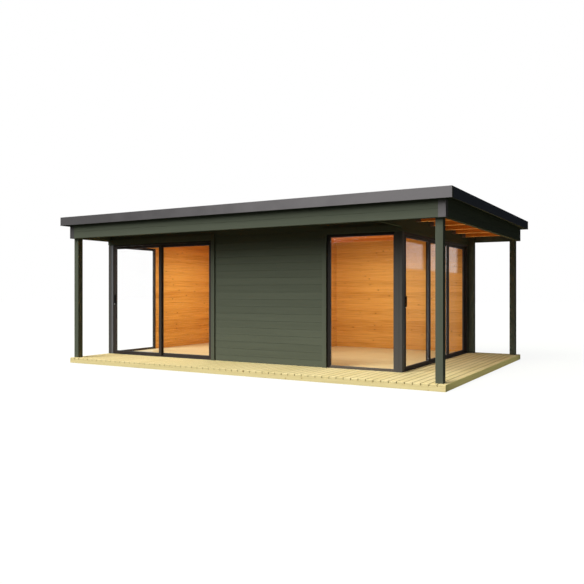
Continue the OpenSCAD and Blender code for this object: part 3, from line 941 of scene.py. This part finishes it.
for name, wall, outward, fixed, sliding in (
    ("front_door_frame", FRONT, -1, "front_fixed_leaf", "front_leaf"),
    ("side_door_frame", SIDE, 1, "side_fixed_leaves", "side_leaf"),
):
    width, depth, height = spans(wall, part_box(name))
    fixed_width, fixed_depth, fixed_height = spans(wall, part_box(fixed))
    slide_width, slide_depth, slide_height = spans(wall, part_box(sliding))
    members = (
        slide_width[0] - (slide_height[0] - fixed_height[0]) - width[0],
        width[1] - fixed_width[1],
        fixed_height[0] - height[0],
        height[1] - fixed_height[1],
    )
    first, second = (fixed_depth, slide_depth) if outward > 0 else (slide_depth, fixed_depth)
    groove = (max(first) + min(second)) / 2
    bm = bmesh.new()
    ring(bm, wall, width, (depth[0], groove - TRACK_GROOVE / 2), height, members)
    ring(bm, wall, width, (groove + TRACK_GROOVE / 2, depth[1]), height, members)
    sunk = [member - JOINT for member in members]
    ring(bm, wall, width, (groove - JOINT, groove + JOINT), height, sunk, JOINT / 4)
    make_piece(name.replace("frame", "track_frame"), bm, [dark_metal], [name])


# Leaves: each has two stiles and two rails with a set-back glazing bead and a
# black gasket round the pane. The sliding ones stand on two runners.
BEAD = 0.014
BEAD_BACK = 0.003
GASKET = 0.004
RUNNER_LONG = 0.080
RUNNER_HALF = 0.006
RUNNER_INSET = 0.080
RUNNER_EASE = 0.001


def rubber():
    material = bpy.data.materials.new("gasket_rubber")
    seal = Shader(material)
    place = seal.vector(*seal.place())
    dull = seal.noise(place, 90, 2)
    sockets = {
        "Base Color": seal.ramp(dull, (0.3, (0.010, 0.009, 0.008)), (0.7, (0.020, 0.017, 0.014))),
        "Roughness": 0.55 + dull * 0.2,
    }
    seal.show(seal.node("BsdfPrincipled", sockets))
    return material


def coat_new_faces(bm, before, number):
    """Gives a material to the faces that came after the first ones."""
    bm.faces.ensure_lookup_table()
    for face in bm.faces[before:]:
        face.material_index = number


def glazed_ring(bm, wall, width, depth, height, members):
    """A leaf or window ring: profile, bead and gasket, from outside in."""
    profile = [member - BEAD for member in members]
    ring(bm, wall, width, depth, height, profile)
    bead_width, bead_height = inside(width, height, profile)
    bead_depth = (min(depth) + BEAD_BACK, max(depth) - BEAD_BACK)
    ring(bm, wall, bead_width, bead_depth, bead_height, [BEAD] * 4, METAL_EASE / 2)
    metal = len(bm.faces)
    seal_width, seal_height = inside(width, height, [member - GASKET / 4 for member in members])
    seal_depth = (bead_depth[0] + BEAD_BACK / 2, bead_depth[1] - BEAD_BACK / 2)
    ring(bm, wall, seal_width, seal_depth, seal_height, [GASKET] * 4, GASKET / 6)
    coat_new_faces(bm, metal, 1)


gasket_rubber = rubber()
fixed_panes = boxes_of("fixed_leaf_glass")
for node, wall, body, title, panes in (
    ("front_leaf", FRONT, "front_leaf", "front_sliding_leaf", boxes_of("front_leaf_glass")),
    ("side_leaf", SIDE, "side_leaf", "side_sliding_leaf", boxes_of("side_leaf_glass")),
    ("front_fixed_leaf", FRONT, "house", "front_fixed_sash", [box for box in fixed_panes if box[1].x < 0]),
    ("side_fixed_leaves", SIDE, "house", "side_fixed_sashes", [box for box in fixed_panes if box[1].x > 0]),
):
    width, depth, height = spans(wall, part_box(node))
    glass = sorted(spans(wall, box) for box in panes)
    pane_height = glass[0][2]
    rail = height[1] - pane_height[1]
    bottom = pane_height[0] - rail
    meetings = [(pane[0][1] + after[0][0]) / 2 for pane, after in zip(glass, glass[1:])]
    ends = [width[0]] + meetings + [width[1]]
    bm = bmesh.new()
    for start, end, pane in zip(ends, ends[1:], glass):
        members = (pane[0][0] - start, end - pane[0][1], rail, rail)
        glazed_ring(bm, wall, (start, end), depth, (bottom, height[1]), members)
    if height[0] < bottom - RUNNER_EASE:
        middle = (depth[0] + depth[1]) / 2
        runner_depth = (middle - RUNNER_HALF, middle + RUNNER_HALF)
        for start in (width[0] + RUNNER_INSET, width[1] - RUNNER_INSET - RUNNER_LONG):
            runner_width = (start, start + RUNNER_LONG)
            bar(bm, wall, runner_width, runner_depth, (height[0], bottom), RUNNER_EASE)
    make_piece(title, bm, [dark_metal, gasket_rubber], [node], body)


# Windows: fixed frames of the same metal, set deeper in the wall. The first
# side and the head are a darker metal, a painted shade, the second side takes
# the paler post metal and the foot a paler one still, both painted light.
shade_frame_metal = coated_metal("shade_frame_metal", (0.020, 0.017, 0.015), 0.42, gloss=0.03)
lit_foot_metal = coated_metal("lit_foot_metal", (0.090, 0.076, 0.060), 0.42, gloss=0.03)
metals = [dark_metal, gasket_rubber, shade_frame_metal, post_metal, lit_foot_metal]
for node, title, wall in (
    ("front_window_frame", "front_window_sash", FRONT),
    ("west_window_frame", "west_window_sash", SIDE),
):
    width, depth, height = spans(wall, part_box(node))
    pane = [box for box in boxes_of("window_glass") if (box[0].x > 0) == (wall == FRONT)][0]
    pane_width, _, pane_height = spans(wall, pane)
    members = (
        pane_width[0] - width[0],
        width[1] - pane_width[1],
        pane_height[0] - height[0],
        height[1] - pane_height[1],
    )
    bm = bmesh.new()
    glazed_ring(bm, wall, width, depth, height, members)
    # Painted shade on the first side and the head, painted light on the second side and the foot
    for face in [face for face in bm.faces if face.material_index == 0]:
        middle = face.calc_center_median()
        if middle[wall] < pane_width[0] or middle.z > pane_height[1]:
            face.material_index = 2
        elif middle[wall] > pane_width[1]:
            face.material_index = 3
        elif middle.z < pane_height[0]:
            face.material_index = 4
    make_piece(title, bm, metals, [node])


# Panes: clear double glazing, two sheets held apart by a metal spacer that
# just shows at the edge of the gasket.
SHEET_T = 0.004
SPACER = 0.007
SPACER_EASE = 0.0005
LEAST_MIRROR = 0.001
EDGE_ON_MIRROR = 0.38
LOW_SHARE = 0.06
# Painted reflection: the panes mirror most above this height
REFLECTION_BAND_FROM = (1.54, 1.58)


def clear_glass():
    """Clear glass that mirrors more edge on, as glass does, and most above a set height, a painted
    reflection.
    """
    material = bpy.data.materials.new("clear_glass")
    pane = Shader(material)
    height = pane.place()[2]
    facing = pane.node("LayerWeight", {"Blend": 0.5}, output="Facing")
    mirror = LEAST_MIRROR + EDGE_ON_MIRROR * facing ** 5 * (LOW_SHARE + height.step(*REFLECTION_BAND_FROM))
    through = pane.node("BsdfTransparent", {"Color": WHITE})
    shine = pane.node("BsdfGlossy", {"Color": WHITE, "Roughness": 0.01})
    pane.show(pane.node("MixShader", {0: mirror, 1: through, 2: shine}))
    return material


glazing = clear_glass()
spacer_metal = coated_metal("spacer_metal", (0.10, 0.10, 0.105), 0.4, 0.6)
for node, title, body in (
    ("window_glass", "window_panes", "house"),
    ("fixed_leaf_glass", "fixed_leaf_panes", "house"),
    ("front_leaf_glass", "front_leaf_pane", "front_leaf"),
    ("side_leaf_glass", "side_leaf_pane", "side_leaf"),
):
    bm = bmesh.new()
    for low, high in boxes_of(node):
        wall = FRONT if high.y - low.y < high.x - low.x else SIDE
        width, depth, height = spans(wall, (low, high))
        gap = (depth[0] + SHEET_T, depth[1] - SHEET_T)
        for back, front in ((depth[0], gap[0]), (gap[1], depth[1])):
            block(bm, upright(wall, width[0], back, height[0]), upright(wall, width[1], front, height[1]))
        clear = len(bm.faces)
        ring(bm, wall, width, gap, height, [SPACER] * 4, SPACER_EASE)
        coat_new_faces(bm, clear, 1)
    make_piece(title, bm, [glazing, spacer_metal], [node], body)


# Pulls: on each sliding leaf a black bow on two feet, over a backplate that
# carries a round lock cylinder of bright metal.
BOW_OUT = 0.023
BOW_T = 0.011
BOW_WIDE = BOW_T * 1.2
BOW_EASE = 0.0035
PLATE_T = 0.004
PLATE_EASE = PLATE_T * 0.4
LOCK_RISE = 0.012
LOCK_ASIDE = 0.002
LOCK_OUT = 0.009
LOCK_SIDES = 20

black_satin = coated_metal("black_satin", (0.016, 0.016, 0.018), 0.32)
bright_metal = coated_metal("bright_metal", (0.50, 0.49, 0.46), 0.35)
for node, wall, outward, body in (
    ("front_leaf_handle", FRONT, -1, "front_leaf"),
    ("side_leaf_handle", SIDE, 1, "side_leaf"),
):
    bow, lock = sorted(boxes_of(node), key=lambda box: box[0].z - box[1].z)
    width, depth, height = spans(wall, bow)
    lock_width, _, lock_height = spans(wall, lock)
    leaf_face = depth[1] if outward < 0 else depth[0]
    front = leaf_face + outward * BOW_OUT
    plate = leaf_face + outward * PLATE_T
    bow_width = (width[1] - BOW_WIDE, width[1])
    lower_foot = lock_height[1] + LOCK_RISE
    bm = bmesh.new()
    bar(bm, wall, width, (leaf_face, plate), (lock_height[0] - PLATE_T, height[1]), PLATE_EASE)
    bar(bm, wall, bow_width, (front, front - outward * BOW_T), (lower_foot, height[1]), BOW_EASE)
    for foot in (lower_foot, height[1] - BOW_T):
        foot_depth = (leaf_face, front - outward * BOW_EASE)
        bar(bm, wall, bow_width, foot_depth, (foot, foot + BOW_T), BOW_EASE)
    dark = len(bm.faces)
    lock_across = (lock_width[0] + lock_width[1]) / 2 - LOCK_ASIDE
    lock_level = (lock_height[0] + lock_height[1]) / 2 + LOCK_RISE
    lock_radius = (lock_width[1] - lock_width[0]) / 2
    out = Vector(upright(wall, 0, outward, 0))
    button(bm, upright(wall, lock_across, plate, lock_level), out, lock_radius, LOCK_OUT, LOCK_SIDES)
    coat_new_faces(bm, dark, 1)
    make_piece(node + "_bow", bm, [black_satin, bright_metal], [node], body)


# Unit trims: raised boards over and beside the front door and window, planed,
# eased and stained like the wall that they are nailed to.
TRIM_EASE = 0.003

paint_trim = paint("paint_trim", 2, 0, ONE_BOARD, -2 * ONE_BOARD)
bm = eased_copy("unit_trims", TRIM_EASE)
make_piece("unit_trim_boards", bm, [paint_trim], ["unit_trims"])
